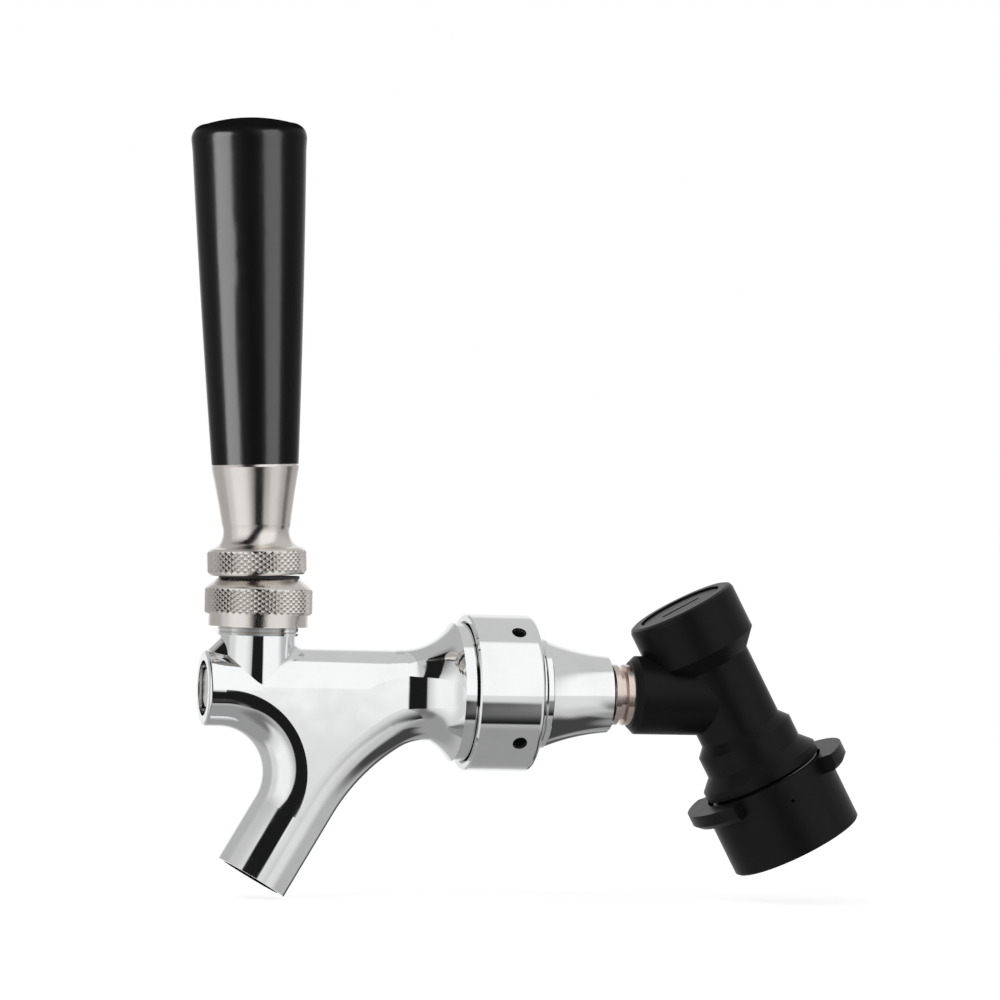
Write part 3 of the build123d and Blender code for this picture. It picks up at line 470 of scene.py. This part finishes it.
def moulded_acetal(name, colour, rough):
    """Moulded plastic with a cloudy sheen, a few scuffs and the mould's fine grain."""
    acetal = Finish(name, Metallic=0.0, Specular_IOR_Level=0.125)
    point = acetal.where()
    cloud = acetal.noise(point, 0.008, detail=4.0, roughness=0.6)
    scuff = acetal.noise(point, 0.0011, detail=3.0, roughness=0.7).above(0.66, 0.08)
    acetal.vary("Base Color", acetal.blend_colour(cloud, colour, [c * 1.5 for c in colour]))
    acetal.vary("Roughness", rough + 0.1 * cloud + 0.06 * scuff)
    acetal.bump(acetal.noise(point, 0.00035, detail=3.0), 0.00001)
    return acetal


dress(moulded_acetal("black_acetal_body", BLACK, 0.3), "disconnect_body", "disconnect_cap")
dress(nitrile, "cap_o_ring", "pin_seal")


# ---------------------------------------------------------------- disconnect valve
# A turned steel pin with a rubber seal closes the port, and the keg post pushes it up against
# its spring. The pin spring and the snap ring are drawn stainless wire; the collar spring is drawn dark grey and
# rough, as painted shade in the narrow gap where it sits.

socket_axis = -Vector(frame["record"]["mounts"][0]["axis"])
pin_axis = frame_along((0, 0, 0), socket_axis)
dress(turned_metal("turned_steel_pin", STEEL, pin_axis, FINE_FEED, 0.00001, 0.16), "depressor_pin")


def spring_wire(name, grey, rough):
    return turned_metal(name, (grey, grey, grey), pin_axis, 0.0009, 0.000004, rough)


dress(spring_wire("spring_wire", 0.60, 0.24), "pin_spring", "collar_retaining_ring")
# the collar spring is painted dark grey: painted shade in the gap round it
dress(spring_wire("shaded_spring_wire", 0.22, 0.4), "collar_spring")


# ---------------------------------------------------------------- release collar
# The collar slides on the body's sleeve and is lifted by its two finger lugs. It frees four
# steel balls that lock the disconnect on the post, and a snap ring keeps it on.

dress(moulded_acetal("black_acetal_collar", BLACK, 0.32), "release_collar")
ball_steel = turned_metal("ball_steel", STEEL, pin_axis, 0.002, 0.000002, 0.1)
dress(ball_steel, *[name for name in nodes if name.startswith("locking_ball")])


# ---------------------------------------------------------------- studio
# A white floor in a white room. Two tall soft boxes stand left and right of the camera, with a
# dark gap between them that leans to the left, and the polished metal shows them.

studio_turn = math.radians(-13.6)
to_camera = Vector((math.sin(studio_turn), -math.cos(studio_turn), 0))
studio_right = Vector((math.cos(studio_turn), math.sin(studio_turn), 0))


class Room(Wiring):
    """The world around the object, as the polished metal sees it."""

    def __init__(self, name):
        world = bpy.data.worlds.new(name)
        bpy.context.scene.world = world
        world.use_nodes = True
        super().__init__(world.node_tree)
        self.background = world.node_tree.nodes["Background"]
        self.background.inputs["Color"].default_value = (1, 1, 1, 1)
        direction = self.node("TexCoord", output="Generated")
        self.right = self.dot(direction, studio_right)
        self.near = self.dot(direction, to_camera)
        self.up = self.dot(direction, Vector((0, 0, 1)))
        self.turn = self.right.math("ARCTAN2", self.right, self.near) * (180 / math.pi)
        self.rise = self.up.math("ARCSINE", self.up) * (180 / math.pi)
        self.level = 0.5

    def between(self, value, low, high, softness):
        """1 where the value lies between two edges, with soft steps."""
        return value.above(low, softness) * (1 - value.above(high, softness))

    def panel(self, turns, rises, softness, level):
        """A soft-edged panel of light or shade, between two turns and two rises in degrees."""
        mask = self.between(self.turn, *turns, softness) * self.between(self.rise, *rises, softness)
        self.lay(mask, level)

    def lay(self, mask, level):
        """Lays a level of light over what is there, where the mask is 1."""
        self.level = self.level * (1 - mask) + mask * level


room = Room("white_room")

# the ceiling, the floor and the wall behind the faucet
room.panel((-92, 200), (20, 100), 12, 0.62)
room.panel((-200, 200), (-100, -38), 9, 0.34)
room.lay((room.near * -1).above(0.86, 0.06) * room.rise.above(-34, 8), 0.92)

# dark patches low on the right and far right, on the floor in front, and above the left soft box
room.panel((72, 152), (-64, -34), 6, 0.06)
room.panel((98, 122), (-19, -6), 5, 0.16)
room.panel((150, 176), (-34, -4), 4, 0.1)
room.panel((-40, 8), (-66, -36), 10, 0.2)
room.panel((-110, -15), (38, 70), 8, 0.3)

# the left soft box, brighter in its middle
room.panel((-92, -14), (-44, 28), 6, 0.74)
room.panel((-68, -24), (-32, 22), 10, 1.0)

# the right soft box, brightest above eye level
room.panel((10, 84), (-46, 100), 8, 0.6)
room.panel((10, 76), (-28, 100), 9, 0.8)
room.lay(room.between(room.turn, 10, 72, 9) * room.rise.above(-2.2, 0.6), 1.06)

# the black sill under the right soft box
sill = room.rise.above(-43.5, 1.5) * (1 - room.rise.above(-23, 20))
room.lay(sill * room.between(room.turn, 16, 46, 6), 0.01)

# the dark gap between the soft boxes, which leans to the left
lean = math.radians(29)
gap_across = room.right * math.cos(lean) + room.up * math.sin(lean)
gap_along = room.up * math.cos(lean) - room.right * math.sin(lean)
gap = room.between(gap_across, -0.19, 0.295, 0.025) * room.between(gap_along, -0.66, 1.1, 0.08)
in_front = room.near.above(0.05, 0.05) * (1 - room.turn.above(28.8, 2.4))
room.lay(gap * in_front, 0.012)

# what the camera sees is white, and what falls softly on every surface is one even level
seen, mirrored, through = (
    room.node("LightPath", output=f"Is {ray} Ray") for ray in ("Camera", "Glossy", "Transmission")
)
soft = (1 - seen) * (1 - mirrored) * (1 - through)
room.level = room.level * (1 - seen) * (1 - soft) + seen + soft * 0.62
room.tree.links.new(room.level.socket, room.background.inputs["Strength"])

# the floor lies just below the faucet, and is brightened for the camera alone
below = 0.0004
bpy.ops.object.select_all(action="DESELECT")
bpy.ops.mesh.primitive_plane_add(size=60.0, location=(0, 0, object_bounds()[0].z - below))
floor = bpy.context.object
floor.name = "floor"
floor_paint = Finish("pale_floor", Roughness=0.9)
floor_paint.shader.inputs["Base Color"].default_value = (0.9, 0.9, 0.9, 1)
floor_camera = floor_paint.node("LightPath", output="Is Camera Ray")
floor_glow = floor_paint.node("Emission", inputs={"Strength": 1.15})
floor_base = Channel(floor_paint, floor_paint.shader.outputs[0])
floor_mix = floor_paint.node("MixShader", inputs=(floor_camera * 0.75, floor_base, floor_glow))
floor_paint.tree.links.new(floor_mix.socket, floor_paint.tree.nodes["Material Output"].inputs["Surface"])
floor.data.materials.append(floor_paint.material)
floor.visible_glossy = False


def soft_box(name, turn, rise, width, height, distance, watts):
    """A rectangular soft box that faces the lever, a turn and a rise away from the camera."""
    lamp = bpy.data.lights.new(name, "AREA")
    lamp.shape = "RECTANGLE"
    lamp.size = width
    lamp.size_y = height
    lamp.energy = watts
    stand = bpy.data.objects.new(name, lamp)
    bpy.context.scene.collection.objects.link(stand)
    level = to_camera * math.cos(math.radians(turn)) + studio_right * math.sin(math.radians(turn))
    away = level * math.cos(math.radians(rise)) + Vector((0, 0, math.sin(math.radians(rise))))
    stand.location = lever_pivot + away * distance
    stand.rotation_euler = away.to_track_quat("Z", "Y").to_euler()
    return stand


# two soft boxes shine on the grip alone, as long highlights
for_the_grip = bpy.data.collections.new("lit_by_soft_boxes")
for_the_grip.objects.link(nodes["handle_grip"])
for box in (
    soft_box("soft_box_left", -54, 0, 0.62, 1.2, 0.9, 97),
    soft_box("soft_box_right", 50, 12, 0.6, 1.4, 0.9, 48),
):
    box.light_linking.receiver_collection = for_the_grip
    box.visible_diffuse = False

# the key lamp from the upper left gives the floor its shadow
key = soft_box("key_lamp", -35, 55, 0.8, 0.8, 1.2, 9)
key.visible_glossy = False

# the camera looks level from the faucet's front left, with a long lens and a slight roll
valve_height = middle("coupling_nut").z
view_centre = Vector((lever_pivot.x, 0, valve_height + 0.04746)) + studio_right * 0.05819
view_width = 0.2436
camera_data = bpy.data.cameras.new("camera")
camera = bpy.data.objects.new("camera", camera_data)
bpy.context.scene.collection.objects.link(camera)
camera_data.sensor_width = 36.0
camera_data.lens = 200.0
camera.location = view_centre + to_camera * (view_width * camera_data.lens / camera_data.sensor_width)
camera_roll = math.radians(1.43)
camera_up = Vector((0, 0, math.cos(camera_roll))) - studio_right * math.sin(camera_roll)
camera_side = camera_up.cross(to_camera)
camera.rotation_euler = Matrix((camera_side, camera_up, to_camera)).transposed().to_euler()
camera_data.clip_end = 50
bpy.context.scene.camera = camera

bpy.context.scene.view_settings.view_transform = "Standard"
